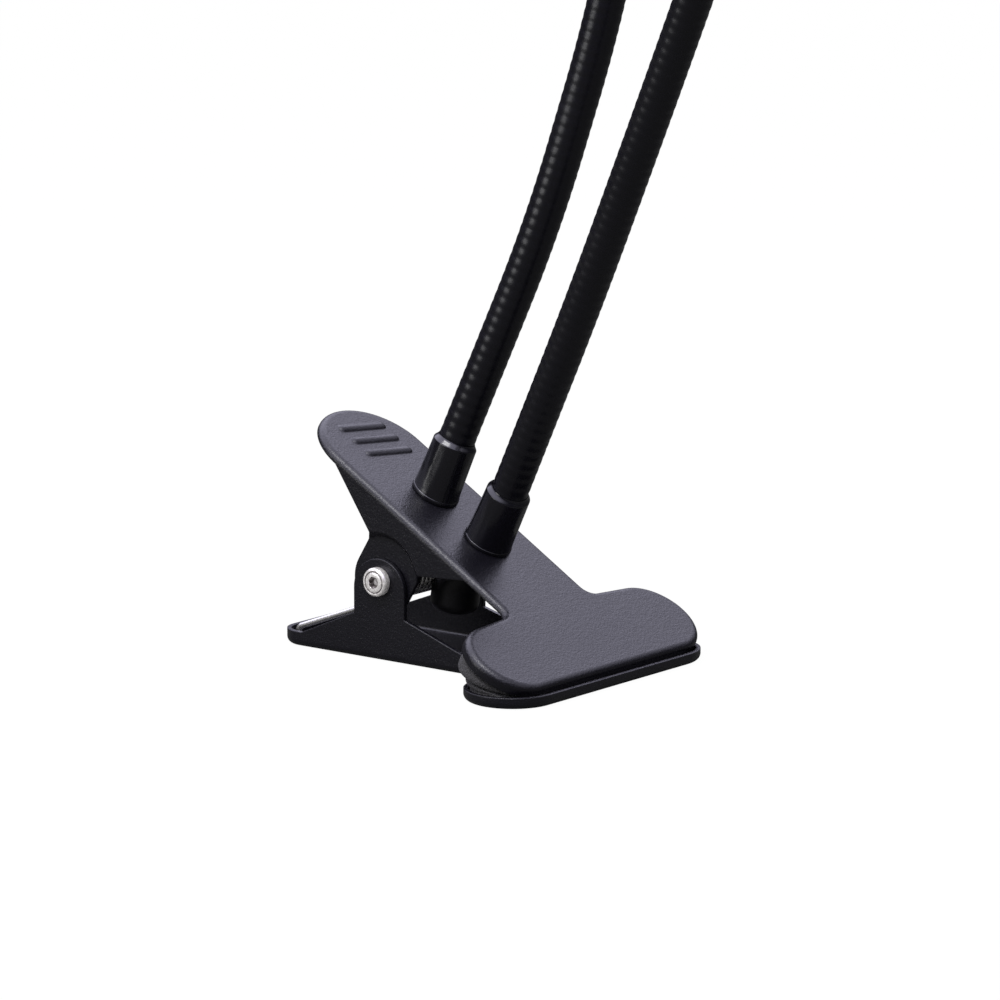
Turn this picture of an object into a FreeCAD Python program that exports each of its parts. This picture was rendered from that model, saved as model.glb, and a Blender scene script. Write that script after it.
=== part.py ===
import FreeCAD, Part
import math
import os

# Clip-on reading lamp: a sprung sheet-metal clip that carries two flexible
# arms, each with a small spot head.  Millimetres, +Z up.  The clip's handle
# points to -X and its jaw to +X.  The origin is on the underside of the lower
# jaw, straight below the hinge pin, and the pin lies along Y.

os.makedirs("parts", exist_ok=True)

Vector = FreeCAD.Vector
X_AXIS = Vector(1, 0, 0)
Y_AXIS = Vector(0, 1, 0)
Z_AXIS = Vector(0, 0, 1)

# ---- clip: sheet metal -------------------------------------------------------
SHEET = 1.2              # sheet thickness
EDGE_R = 1.8             # outer radius of the pressed edges
HANDLE_WIDTH = 34.0      # over both side walls
HEAD_WIDTH = 85.6        # across the jaw
LOWER_FAR_SHORTER = 1.6  # the lower jaw stops so much short at its +Y end
HEAD_DEPTH = 25.0        # jaw, from its back edge to its front edge, at the lobes
HEAD_SWEEP = 4.5         # degrees, how far the jaw's back edges sweep forward
NECK_R = 3.0             # inside corner between handle and jaw
PIN_HEIGHT = 21.1        # pin centre above the underside of the lower jaw
JAW_CLOSE = 1.891        # closed: upper rim's front edge above the underside
PIN_TO_TOP = 19.6        # from the pin to the top face of the upper plate

UPPER_TIP = -44.3        # handle end of the upper jaw, along its plate
UPPER_FRONT = 64.0       # jaw edge of the upper jaw, along its plate
UPPER_TIP_R = 16.9       # corner radius of the handle end
UPPER_RIM = 3.3          # height of the turned-down rim, jaw side
UPPER_TIP_RIM = 2.1      # likewise, round the handle's end
UPPER_NECK_RIM = 1.8     # likewise, between the side wall and the jaw
UPPER_NECK_END = 38.0    # where the rim deepens again, along the plate
UPPER_NECK_STEP = 2.0
UPPER_WALL_BACK = -27.5  # where the side wall starts to deepen, handle side
UPPER_WALL_FRONT = 22.0  # where it ends, jaw side
UPPER_EAR_R = 9.3        # ear round the pin
UPPER_EAR_TOP = 9.1      # height above the pin where the ear meets the wall
CRANK = 1.5              # how far the upper ears are pressed inwards
CRANK_R = 11.4           # radius of the pressed round field about the pin
CRANK_RAMP = 1.6         # radial width of its sloping edge

LOWER_TIP = -34.8
LOWER_FRONT = 66.8
LOWER_TIP_R = 7.0
LOWER_RIM = 3.1
LOWER_TIP_RIM = 4.0
LOWER_WALL_BACK = -26.3
LOWER_WALL_FRONT = 34.0
LOWER_EAR_R = 8.35
LOWER_EAR_TOP = 27.0     # top of the ear above the underside
LOWER_EAR_FOOT = 11.8    # height where the ear leaves the sloping wall
LOWER_FAR_FOOT = (11.0, 9.8)  # likewise on the +Y side, towards the handle and towards the jaw

GRIP_RIBS = 3            # pressed thumb ribs near the handle's end
GRIP_RIB_FIRST = -36.0
GRIP_RIB_PITCH = 5.2
GRIP_RIB_LENGTH = 17.5
GRIP_RIB_WIDTH = 3.0
GRIP_RIB_HEIGHT = 0.7
GRIP_RIB_Y = 1.6
GRIP_RIB_TURN = 8.0      # degrees, the ribs lie slightly askew

# ---- clip: foam pads ---------------------------------------------------------
PAD_SIDE_GAP = 0.3       # between a pad and the rim round it
PAD_FACE_GAP = 0.3       # between the two pads
PAD_FRONT_HEIGHT = 1.65  # parting plane above the underside, below the upper rim
PAD_FRONT_SETBACK = 2.0  # the lower pad stops this far behind the rim's inside

# ---- clip: hinge -------------------------------------------------------------
SCREW_R = 2.0            # M4
SCREW_HEAD_R = 3.8
SCREW_HEAD_H = 2.3
SCREW_RIM_H = 1.6        # straight part of the head
SCREW_CROWN_R = 2.5      # flat middle of the head
SCREW_RECESS_R = 1.5     # six-lobe drive, over its lobes
SCREW_RECESS_DEPTH = 1.3
LOBE_SHARE = 0.3         # radius of one lobe, as a share of the recess
LOBE_PLACE = 0.78        # its distance from the axis, likewise
RECESS_CORE_SHARE = 0.8
SCREW_STANDOUT = 0.9     # thread past the nut
NUT_ACROSS = 7.0
NUT_H = 3.2
SCREW_CLEARANCE = 0.1    # screw in the ears and in the sleeve
THREAD_CLEARANCE = 0.03
SLEEVE_R = 4.0           # spacer tube between the lower ears
RUNNING_FIT = 0.05       # upper ears on the spacer tube
END_CLEARANCE = 0.05
WIRE_R = 0.8             # spring wire
COIL_R = 4.95            # mean radius of the coil
COIL_LENGTH = 24.2
COIL_TURNS = 11          # whole turns before the legs are allowed for
LOWER_LEG_REACH = 28.0   # how far the legs reach towards the handle's end
UPPER_LEG_REACH = 24.0
LEG_SEAT_GAP = 0.15

# ---- flexible arms -----------------------------------------------------------
STEM_R = 3.9             # wound steel core
STEM_BORE_R = 1.4        # room for the two wires
SKIN_R = 4.85            # ribbed sleeve over the core
SKIN_GAP = 0.05
BALL_R = 3.2             # the core's links
BALL_FIT = 0.08
BALL_SHOULDER = 2.55     # from a link's centre to the shoulder below it
SKIN_SETBACK = 1.8       # from a link's centre to the end of the sleeve
BOOT_WALL = 0.55         # shrunk-on boots at both ends
BOOT_GAP = 0.05
BOOT_FLARE = 0.8         # the boots at the plate are so much wider at their feet
BOOT_LENGTH = {"left": 14.5, "right": 16.0}
TOP_BOOT_LENGTH = 14.5
STUD_R = 3.0             # hollow threaded stud through the plate
STUD_FLANGE_R = 4.6
STUD_FLANGE_H = 1.2
STUD_FIT = 0.1           # stud in the plate
STUD_DROP = 4.6          # thread below the top face of the plate
RING_NUT_R = 4.0
RING_NUT_H = 2.2
RING_NUT_SLOT = 1.2
FACE_GAP = 0.05          # between pieces of one body that seat on each other

# Where the arms stand on the upper plate: along it, across it, and the
# direction that each arm leaves in: its lean to +X and to +Y per unit of height.
ARM_BASE = {"left": (-8.5, 3.0), "right": (13.4, 1.5)}
ARM_LEAN = {"left": (0.418, 0.09), "right": (0.535, -0.11)}
# The second and third stretches turn each arm upright by so many degrees.
ARM_BENDS = {"left": (6.5, 8.0), "right": (1.5, 0.5)}
# Each spot head points this way: compass angle from +X, angle from straight up.
HEAD_AIM = {"left": (26.0, 108.0), "right": (-24.0, 106.0)}
STRETCH_LENGTHS = (48.0, 58.0, 66.0, 62.0, 62.0)  # from link to link along an arm
LINK_STRAIGHT = 7.0      # straight run on each side of a link
BOOT_STRAIGHT = 15.0     # straight run under the boot at the spot head
CROWN_SHARES = (0.5, 0.5)  # how the last two stretches share the crown's bend

# ---- wiring under the plate --------------------------------------------------
GLAND_R = 6.4            # soft boot over the nut of the right arm
GLAND_WALL = 0.9
GLAND_DROP = 18.07       # from its skirt down to its lower end
GLAND_SHIFT = -9.13      # its lower end from the skirt, along the clip
GLAND_ASIDE = -1.5       # likewise, across it
GLAND_LEAN = 8.5         # degrees from upright
GLAND_SKIRT_R = 6.0
GLAND_STRAIGHT = 6.5
GLAND_EDGE_R = 2.6
GLAND_BASE_SHIFT = -0.8  # skirt's centre from the nut's, along the plate
CABLE_HOLE_R = 1.9
LEAD_R = 0.8
LEAD_DEPTH = 6.6         # run of the link lead below the plate's top face
LEAD_BEND_R = 3.0

# ---- spot heads --------------------------------------------------------------
HEAD_R = 17.0
HEAD_LENGTH = 50.0
HEAD_NECK_R = 7.2
HEAD_NECK_LENGTH = 5.0
HEAD_SHOULDER = 15.0     # end of the rounded shoulder
SHOULDER_MID = (0.72, 0.3)  # its middle point: shares of its widening and of its length
REAR_ROOM_R = 13.2
REAR_ROOM_START = 11.0
FRONT_ROOM_R = 14.4
PLATE_SEAT = 28.0        # step that the LED plate sits on
PLATE_H = 2.5
BOARD_R = 9.0
BOARD_H = 1.6
EMITTER_SIZE = 4.6
EMITTER_H = 0.7
LENS_R = 15.2
LENS_H = 2.2
LENS_FIT = 0.15
LENS_RISE = 1.2          # bulge of its outer face
THREAD_STEP = 0.8        # front of the housing is this much slimmer
BEZEL_R = 17.6
BEZEL_SKIRT = 5.0
BEZEL_LIP_R = 13.8
BEZEL_LIP_H = 2.2
BEZEL_CHAMFER = 1.0
FIN_COUNT = 5
FIN_FIRST = 30.5
FIN_PITCH = 2.9
FIN_GROOVE = 1.3
FIN_DEPTH = 1.2
BUTTON_R = 3.5
BUTTON_FIT = 0.1
BUTTON_Z = 21.0
BUTTON_STANDOUT = 1.2
BUTTON_FLANGE_R = 4.4
BUTTON_FLANGE_H = 0.9
BUTTON_TRAVEL = 0.8
BUTTON_REST_GAP = 0.9    # flange to the inside of the housing, pressed by nothing
BUTTON_EDGE_R = 0.5
SWITCH_SIZE = 6.0
SWITCH_BODY_SHARE = 0.6  # height of its body as a share of the whole switch
DRIVER_FACE = 8.2        # outer face of the driver board from the head's axis
DRIVER_H = 1.2
DRIVER_WIDTH = 17.0
DRIVER_START = 13.0
HEAD_LEAD_TURN = 50.0    # degrees, sideways and back again
HEAD_LEAD_BEND = 3.5     # length of each turn
HEAD_LEAD_END = 3.0
BOARD_SCREW_R = 1.0
BOARD_SCREW_HEAD_R = 1.8
BOARD_SCREW_HEAD_H = 0.6
BOARD_SCREW_SLOT = 0.5
BOARD_SCREW_PITCH = 13.0
REFLECTOR_WALL = 0.8
REFLECTOR_STEPS = 8
WIRE_HOLE_R = 1.2
WIRE_HOLE_PLACE = 11.0   # from the head's axis

# ---- values that follow ------------------------------------------------------
half_width = HANDLE_WIDTH / 2
lower_far_end = HEAD_WIDTH / 2 - LOWER_FAR_SHORTER
boot_radius = SKIN_R + BOOT_GAP + BOOT_WALL
pin_centre = Vector(0, 0, PIN_HEIGHT)
upper_under = PIN_TO_TOP - SHEET
upper_rim_edge = PIN_TO_TOP - UPPER_RIM
# The upper jaw turns about the pin until its rim's front edge is at its closed height.
rim_reach = math.hypot(UPPER_FRONT, upper_rim_edge)
tilt = math.degrees(math.atan2(upper_rim_edge, UPPER_FRONT) + math.asin((PIN_HEIGHT - JAW_CLOSE) / rim_reach))
upper_frame = FreeCAD.Placement(pin_centre, FreeCAD.Rotation(Y_AXIS, tilt))
ear_inside = half_width - SHEET
pad_slope = tilt / 2
big = 200.0


def save(name, shape):
    """Writes one node."""
    if not shape.isValid():
        print("not valid:", name)
    shape.exportStep(f"parts/{name}.step")
    print(f"{name}: {len(shape.Solids)} solid, {shape.Volume:.1f} mm3")


def block(low, high):
    size = Vector(*high) - Vector(*low)
    return Part.makeBox(size.x, size.y, size.z, Vector(*low))


def rounded_face(corners):
    """A flat face in XY from corners (x, y, radius), each rounded by its radius."""
    edges = []
    joins = []
    count = len(corners)
    for i, (x, y, radius) in enumerate(corners):
        here = Vector(x, y, 0)
        before = Vector(*corners[i - 1][:2], 0) - here
        after = Vector(*corners[(i + 1) % count][:2], 0) - here
        before.normalize()
        after.normalize()
        half = before.getAngle(after) / 2
        reach = radius / math.tan(half)
        middle = (before + after).normalize() * (radius / math.sin(half) - radius)
        joins.append((here + before * reach, here + middle, here + after * reach, radius))
    for i, (start, middle, end, radius) in enumerate(joins):
        if radius > 0:
            edges.append(Part.Arc(start, middle, end).toShape())
        following = joins[(i + 1) % count][0]
        if end.distanceToPoint(following) > 0.001:
            edges.append(Part.LineSegment(end, following).toShape())
    return Part.Face(Part.Wire(Part.__sortEdges__(edges)))


def side_prism(points, low, high):
    """A solid whose outline (x, z) lies in the XZ plane and runs from y=low to y=high."""
    corners = [Vector(x, low, z) for x, z in points]
    return Part.Face(Part.makePolygon(corners + corners[:1])).extrude(Vector(0, high - low, 0))


def turned(points):
    """A solid of revolution about Z from its half outline (radius, z)."""
    corners = [Vector(r, 0, z) for r, z in points]
    face = Part.Face(Part.makePolygon(corners + corners[:1]))
    return face.revolve(Vector(), Z_AXIS, 360)


def tube(outer, inner, start, end):
    solid = Part.makeCylinder(outer, end - start, Vector(0, 0, start))
    return solid.cut(Part.makeCylinder(inner, end - start, Vector(0, 0, start)))


def cross_rod(radius, low, high, x=0.0, z=0.0):
    """A round rod along Y."""
    return Part.makeCylinder(radius, high - low, Vector(x, low, z), Y_AXIS)


def edges_at(shape, level):
    """The edges that lie wholly at one height."""
    tolerance = 0.001
    picked = []
    for edge in shape.Edges:
        bounds = edge.BoundBox
        if abs(bounds.ZMin - level) < tolerance and abs(bounds.ZMax - level) < tolerance:
            picked.append(edge)
    return picked


def moved(shape, placement):
    copy = shape.copy()
    copy.Placement = placement.multiply(copy.Placement)
    return copy


# ---- the clip's two jaws -----------------------------------------------------
def clip_outline(tip, front, tip_radius, far_end, inset):
    """Plan of a jaw plate: a round-ended handle with a wide, round-ended head."""
    sweep = math.radians(HEAD_SWEEP)
    side = half_width - inset
    back = front - HEAD_DEPTH + inset / math.cos(sweep)
    edge = front - inset
    halves = []
    for end in (far_end, HEAD_WIDTH / 2):
        lobe = end - HEAD_DEPTH / 2
        neck = back - math.tan(sweep) * (lobe - side)
        shoulder = back + math.tan(sweep) * (HEAD_DEPTH / 2 - inset)
        lobe_radius = 0.998 * (edge - shoulder) / (1 + math.tan(math.pi / 4 - sweep / 2))
        halves.append([
            (tip + inset, side, max(tip_radius - inset, 0.5)),
            (neck, side, NECK_R + inset),
            (shoulder, end - inset, lobe_radius),
            (edge, end - inset, lobe_radius),
        ])
    mirrored = [(x, -y, radius) for x, y, radius in reversed(halves[1])]
    return rounded_face(halves[0] + mirrored)


def pressed_shell(tip, front, tip_radius, far_end, height):
    """A deep tray, open at +Z, with a rounded lower edge.  It is trimmed later."""
    outer = clip_outline(tip, front, tip_radius, far_end, 0).extrude(Vector(0, 0, height))
    outer = outer.makeFillet(EDGE_R, edges_at(outer, 0))
    inner = clip_outline(tip, front, tip_radius, far_end, SHEET).extrude(Vector(0, 0, height))
    inner = inner.makeFillet(EDGE_R - SHEET, edges_at(inner, 0))
    inner.translate(Vector(0, 0, SHEET))
    return outer.cut(inner)


def upper_silhouette():
    """Side view of the upper jaw about the pin: x along the plate, z square to it."""
    wall = [
        (UPPER_TIP - 5, PIN_TO_TOP + 5),
        (UPPER_TIP - 5, PIN_TO_TOP - UPPER_TIP_RIM),
        (UPPER_WALL_BACK, PIN_TO_TOP - UPPER_TIP_RIM),
        (-UPPER_EAR_R, UPPER_EAR_TOP),
        (UPPER_EAR_R, UPPER_EAR_TOP),
        (UPPER_WALL_FRONT, PIN_TO_TOP - UPPER_NECK_RIM),
        (UPPER_NECK_END, PIN_TO_TOP - UPPER_NECK_RIM),
        (UPPER_NECK_END + UPPER_NECK_STEP, upper_rim_edge),
        (UPPER_FRONT + 5, upper_rim_edge),
        (UPPER_FRONT + 5, PIN_TO_TOP + 5),
    ]
    solid = side_prism(wall, -big / 2, big / 2)
    ear = cross_rod(UPPER_EAR_R, -big / 2, big / 2)
    web = block((-UPPER_EAR_R, -big / 2, 0), (UPPER_EAR_R, big / 2, UPPER_EAR_TOP + 1))
    return solid.fuse([ear, web])


def cranked_field():
    """The round field of a side wall that is pressed inwards about the pin (+Y side)."""
    rim = CRANK_R + CRANK_RAMP
    shift = SHEET / 2
    outside = [(0, CRANK), (CRANK_R, CRANK), (rim, 0), (rim + 1, 0)]
    inside = [
        (rim + 1, SHEET),
        (rim + shift, SHEET),
        (CRANK_R + shift, CRANK + SHEET),
        (0, CRANK + SHEET),
    ]
    corners = [Vector(r, half_width - depth, 0) for r, depth in outside + inside]
    face = Part.Face(Part.makePolygon(corners + corners[:1]))
    return face.revolve(Vector(), Y_AXIS, 360)


def grip_ribs():
    """Low rounded ribs across the handle."""
    radius = (GRIP_RIB_WIDTH**2 / 4 + GRIP_RIB_HEIGHT**2) / (2 * GRIP_RIB_HEIGHT)
    level = PIN_TO_TOP + GRIP_RIB_HEIGHT - radius
    straight = GRIP_RIB_LENGTH - 2 * radius
    keep = block((-big, -big, PIN_TO_TOP - SHEET / 2), (big, big, big))
    ribs = []
    for i in range(GRIP_RIBS):
        x = GRIP_RIB_FIRST + i * GRIP_RIB_PITCH
        low = GRIP_RIB_Y - straight / 2
        rib = cross_rod(radius, low, low + straight, x, level)
        for y in (low, low + straight):
            rib = rib.fuse(Part.makeSphere(radius, Vector(x, y, level)))
        rib.rotate(Vector(x, GRIP_RIB_Y, level), Z_AXIS, -GRIP_RIB_TURN)
        ribs.append(rib.common(keep))
    return ribs


def upper_jaw():
    shell = pressed_shell(UPPER_TIP, UPPER_FRONT, UPPER_TIP_R, HEAD_WIDTH / 2, 2 * PIN_TO_TOP)
    turn_over = FreeCAD.Placement(Vector(0, 0, PIN_TO_TOP), FreeCAD.Rotation(X_AXIS, 180))
    outline = upper_silhouette()
    body = moved(shell, turn_over).common(outline)
    reach = CRANK_R + CRANK_RAMP + 1
    for flip in (1, -1):
        window = cross_rod(reach, ear_inside - 3, half_width + 1)
        field = cranked_field().common(outline)
        if flip < 0:
            window = window.mirror(Vector(), Y_AXIS)
            field = field.mirror(Vector(), Y_AXIS)
        below_edge = block((-big, -big, -big), (big, big, PIN_TO_TOP - EDGE_R))
        body = body.cut(window.common(below_edge)).fuse(field.common(below_edge))
    body = body.fuse(grip_ribs())
    holes = [cross_rod(SLEEVE_R + RUNNING_FIT, -half_width - 1, half_width + 1)]
    for x, y in ARM_BASE.values():
        holes.append(Part.makeCylinder(STUD_R + STUD_FIT, 3 * SHEET, Vector(x, y, PIN_TO_TOP - 2 * SHEET)))
    return moved(body.cut(holes).removeSplitter(), upper_frame)


def lower_silhouette(back_foot, front_foot, low, high):
    """Side view of one side of the lower jaw."""
    arch = LOWER_EAR_TOP - LOWER_EAR_R
    wall = [
        (LOWER_TIP - 5, -5),
        (LOWER_TIP - 5, LOWER_TIP_RIM),
        (LOWER_WALL_BACK, LOWER_TIP_RIM),
        (-LOWER_EAR_R, back_foot),
        (-LOWER_EAR_R, arch),
        (LOWER_EAR_R, arch),
        (LOWER_EAR_R, front_foot),
        (LOWER_WALL_FRONT, LOWER_RIM),
        (LOWER_FRONT + 5, LOWER_RIM),
        (LOWER_FRONT + 5, -5),
    ]
    return side_prism(wall, low, high).fuse(cross_rod(LOWER_EAR_R, low, high, 0, arch))


def lower_jaw():
    shell = pressed_shell(LOWER_TIP, LOWER_FRONT, LOWER_TIP_R, lower_far_end, LOWER_EAR_TOP + 1)
    near = lower_silhouette(LOWER_EAR_FOOT, LOWER_EAR_FOOT, -big / 2, 0)
    far = lower_silhouette(*LOWER_FAR_FOOT, 0, big / 2)
    hole = cross_rod(SCREW_R + SCREW_CLEARANCE, -half_width - 1, half_width + 1, 0, PIN_HEIGHT)
    return shell.common(near.fuse(far)).cut(hole).removeSplitter()


# ---- foam pads ---------------------------------------------------------------
def head_prism(front, far_end, low, high, seat):
    """The jaw's head, without the handle, drawn in by the sheet and a side gap.

    Its edge at the height called seat is rounded, to lie in the tray's corner."""
    inset = SHEET + PAD_SIDE_GAP
    near = inset - HEAD_WIDTH / 2
    far = far_end - inset
    back = front - HEAD_DEPTH + inset + math.tan(math.radians(HEAD_SWEEP)) * HEAD_DEPTH / 2
    edge = front - inset
    radius = 0.499 * (edge - back)
    face = rounded_face([
        (back, near, radius),
        (edge, near, radius),
        (edge, far, radius),
        (back, far, radius),
    ])
    face.translate(Vector(0, 0, low))
    prism = face.extrude(Vector(0, 0, high - low))
    return prism.makeFillet(EDGE_R - SHEET, edges_at(prism, seat))


def parting_block(offset):
    """Everything above the pads' parting plane, moved square to it by offset."""
    upper_rim_tip = upper_frame.multVec(Vector(UPPER_FRONT, 0, upper_rim_edge))
    solid = block((-big, -big, offset), (big, big, big))
    turn = FreeCAD.Rotation(Y_AXIS, pad_slope)
    return moved(solid, FreeCAD.Placement(Vector(upper_rim_tip.x, 0, PAD_FRONT_HEIGHT), turn))


def lower_pad():
    floor = SHEET + FACE_GAP
    pad = head_prism(LOWER_FRONT, lower_far_end, floor, PIN_HEIGHT, floor)
    front = LOWER_FRONT - SHEET - PAD_FRONT_SETBACK
    return pad.cut(parting_block(0)).common(block((0, -big, 0), (front, big, big)))


def upper_pad():
    roof = upper_under - FACE_GAP
    pad = moved(head_prism(UPPER_FRONT, HEAD_WIDTH / 2, -big / 4, roof, roof), upper_frame)
    return pad.common(parting_block(PAD_FACE_GAP))


# ---- hinge -------------------------------------------------------------------
def pivot_screw():
    """Button-head screw from the -Y side, with a six-lobe recess."""
    shank_end = half_width + FACE_GAP + NUT_H + SCREW_STANDOUT
    seat = -half_width - FACE_GAP
    head = turned([
        (0, 0),
        (SCREW_HEAD_R, 0),
        (SCREW_HEAD_R, SCREW_RIM_H),
        (SCREW_CROWN_R, SCREW_HEAD_H),
        (0, SCREW_HEAD_H),
    ])
    head = moved(head, FreeCAD.Placement(Vector(0, seat, 0), FreeCAD.Rotation(X_AXIS, 90)))
    screw = head.fuse(cross_rod(SCREW_R, seat, shank_end))
    mouth = seat - SCREW_HEAD_H - 1
    floor = seat - SCREW_HEAD_H + SCREW_RECESS_DEPTH
    recess = cross_rod(SCREW_RECESS_R * RECESS_CORE_SHARE, mouth, floor)
    for lobe in range(6):
        angle = math.radians(60 * lobe)
        x = SCREW_RECESS_R * LOBE_PLACE * math.cos(angle)
        z = SCREW_RECESS_R * LOBE_PLACE * math.sin(angle)
        recess = recess.fuse(cross_rod(SCREW_RECESS_R * LOBE_SHARE, mouth, floor, x, z))
    screw = screw.cut(recess)
    screw.translate(pin_centre)
    return screw


def pivot_nut():
    start = half_width + FACE_GAP
    radius = NUT_ACROSS / math.sqrt(3)
    angles = [math.radians(60 * i) for i in range(6)]
    corners = [(radius * math.cos(angle), radius * math.sin(angle)) for angle in angles]
    nut = side_prism(corners, start, start + NUT_H)
    nut = nut.cut(cross_rod(SCREW_R + THREAD_CLEARANCE, start, start + NUT_H))
    nut.translate(pin_centre)
    return nut


def pivot_sleeve():
    end = ear_inside - END_CLEARANCE
    sleeve = cross_rod(SLEEVE_R, -end, end).cut(cross_rod(SCREW_R + SCREW_CLEARANCE, -end, end))
    sleeve.translate(pin_centre)
    return sleeve


def torsion_spring():
    """Coil round the spacer tube with a tangent leg to each handle.

    The coil is drawn about Z and then laid along Y, which turns its own
    x and y into the lamp's X and -Z.  It starts at the upper leg, on the +Y side."""
    lower_seat = Vector(-LOWER_LEG_REACH, PIN_HEIGHT - SHEET - WIRE_R - LEG_SEAT_GAP, 0)
    on_plate = Vector(-UPPER_LEG_REACH, 0, upper_under - WIRE_R - LEG_SEAT_GAP)
    upper_seat = upper_frame.Rotation.multVec(on_plate)
    upper_seat = Vector(upper_seat.x, -upper_seat.z, 0)

    def swing(seat):
        return math.degrees(math.acos(COIL_R / seat.Length))

    def on_coil(degrees, height):
        angle = math.radians(degrees)
        return Vector(COIL_R * math.cos(angle), COIL_R * math.sin(angle), height)

    start_angle = math.degrees(math.atan2(upper_seat.y, upper_seat.x)) + swing(upper_seat)
    end_angle = math.degrees(math.atan2(lower_seat.y, lower_seat.x)) - swing(lower_seat)
    part_turn = ((end_angle - start_angle) % 360) / 360
    turns = COIL_TURNS - 1 + part_turn
    pitch = COIL_LENGTH / turns
    coil = Part.makeHelix(pitch, COIL_LENGTH, COIL_R)
    coil.rotate(Vector(), Z_AXIS, start_angle)
    coil.translate(Vector(0, 0, -COIL_LENGTH / 2))
    rise = pitch / (2 * math.pi * COIL_R)
    start = on_coil(start_angle, -COIL_LENGTH / 2)
    end = on_coil(end_angle, COIL_LENGTH / 2)
    leg_in = math.sqrt(upper_seat.Length**2 - COIL_R**2)
    leg_out = math.sqrt(lower_seat.Length**2 - COIL_R**2)
    foot = Vector(upper_seat.x, upper_seat.y, start.z - rise * leg_in)
    tail = Vector(lower_seat.x, lower_seat.y, end.z + rise * leg_out)
    upper_leg = Part.LineSegment(foot, start).toShape()
    lower_leg = Part.LineSegment(end, tail).toShape()
    path = Part.Wire([upper_leg] + coil.Edges + [lower_leg])
    ring = Part.Wire(Part.makeCircle(WIRE_R, foot, start - foot))
    spring = path.makePipeShell([ring], True, True)
    spring = moved(spring, FreeCAD.Placement(Vector(), FreeCAD.Rotation(X_AXIS, -90)))
    spring = spring.mirror(Vector(), Y_AXIS)
    spring.translate(pin_centre)
    return spring


# ---- flexible arms -----------------------------------------------------------
class Course:
    """A path of straight runs and tangent arcs, walked from its start."""

    def __init__(self, start, direction):
        self.point = Vector(start)
        self.direction = Vector(direction).normalize()
        self.spans = []

    def run(self, length):
        start = Vector(self.point)
        self.point = start + self.direction * length
        self.spans.append(("run", start, Vector(self.direction), length))

    def bend(self, towards, angle, length):
        """Turns by angle degrees towards a direction, along an arc of the given length."""
        axis = self.direction.cross(towards).normalize()
        radius = length / math.radians(angle)
        inward = axis.cross(self.direction).normalize()
        centre = self.point + inward * radius
        self.spans.append(("arc", Vector(self.point), Vector(self.direction), (centre, axis, angle)))
        turn = FreeCAD.Rotation(axis, angle)
        self.point = centre + turn.multVec(self.point - centre)
        self.direction = turn.multVec(self.direction)

    def solid(self, radius, trim_start=0.0, trim_end=0.0):
        """A round rod along the path, shortened at its ends, which are straight."""
        pieces = []
        last = len(self.spans) - 1
        for i, (kind, start, direction, size) in enumerate(self.spans):
            if kind == "run":
                first = trim_start if i == 0 else 0.0
                length = size - first - (trim_end if i == last else 0.0)
                pieces.append(Part.makeCylinder(radius, length, start + direction * first, direction))
            else:
                centre, axis, angle = size
                disc = Part.Face(Part.Wire(Part.makeCircle(radius, start, direction)))
                pieces.append(disc.revolve(centre, axis, angle))
        rod = pieces[0]
        for piece in pieces[1:]:
            rod = rod.fuse(piece)
        return rod.removeSplitter()


def aim_vector(compass, from_up):
    flat = math.sin(math.radians(from_up))
    turn = math.radians(compass)
    return Vector(flat * math.cos(turn), flat * math.sin(turn), math.cos(math.radians(from_up)))


def arm_courses(side):
    """The five stretches of an arm, from the plate to its spot head."""
    x, y = ARM_BASE[side]
    lean_x, lean_y = ARM_LEAN[side]
    start = upper_frame.multVec(Vector(x, y, PIN_TO_TOP + STUD_FLANGE_H))
    direction = Vector(lean_x, lean_y, 1).normalize()
    stretches = []
    for i, length in enumerate(STRETCH_LENGTHS):
        course = Course(start, direction)
        last = i == len(STRETCH_LENGTHS) - 1
        middle = length - LINK_STRAIGHT - (BOOT_STRAIGHT if last else LINK_STRAIGHT)
        course.run(LINK_STRAIGHT)
        if i == 0:
            course.run(middle)
        elif i < 3:
            course.bend(-X_AXIS, ARM_BENDS[side][i - 1], middle)
        else:
            aim = aim_vector(*HEAD_AIM[side])
            if i == 3:
                crown = math.degrees(course.direction.getAngle(aim))
            course.bend(aim, crown * CROWN_SHARES[i - 3], middle)
        course.run(length - middle - LINK_STRAIGHT)
        start = course.point
        direction = course.direction
        stretches.append(course)
    return stretches


def above_flange(lift):
    """The half space above the stud flange, in the lamp's frame."""
    solid = block((-big, -big, PIN_TO_TOP + lift), (big, big, 2 * big))
    return moved(solid, upper_frame)


def skin(course, first, last):
    """One stretch of the ribbed sleeve."""
    trim_start = -STUD_FLANGE_R if first else SKIN_SETBACK
    trim_end = FACE_GAP if last else SKIN_SETBACK
    outer = course.solid(SKIN_R, trim_start, trim_end)
    solid = outer.cut(course.solid(STEM_R + SKIN_GAP, trim_start, trim_end))
    return solid.common(above_flange(STUD_FLANGE_H + FACE_GAP)) if first else solid


def stem(course, first, last):
    """One stretch of the wound core: a cup at its lower end and a ball at its upper end."""
    trim_start = -STUD_FLANGE_R if first else 0.0
    core = course.solid(STEM_R, trim_start, -HEAD_NECK_LENGTH if last else BALL_SHOULDER)
    if not last:
        core = core.fuse(Part.makeSphere(BALL_R, course.point))
    if first:
        core = core.common(above_flange(STUD_FLANGE_H + FACE_GAP))
    else:
        core = core.cut(Part.makeSphere(BALL_R + BALL_FIT, course.spans[0][1]))
    return core.cut(course.solid(STEM_BORE_R, trim_start, -HEAD_NECK_LENGTH if last else -BALL_R))


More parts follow.
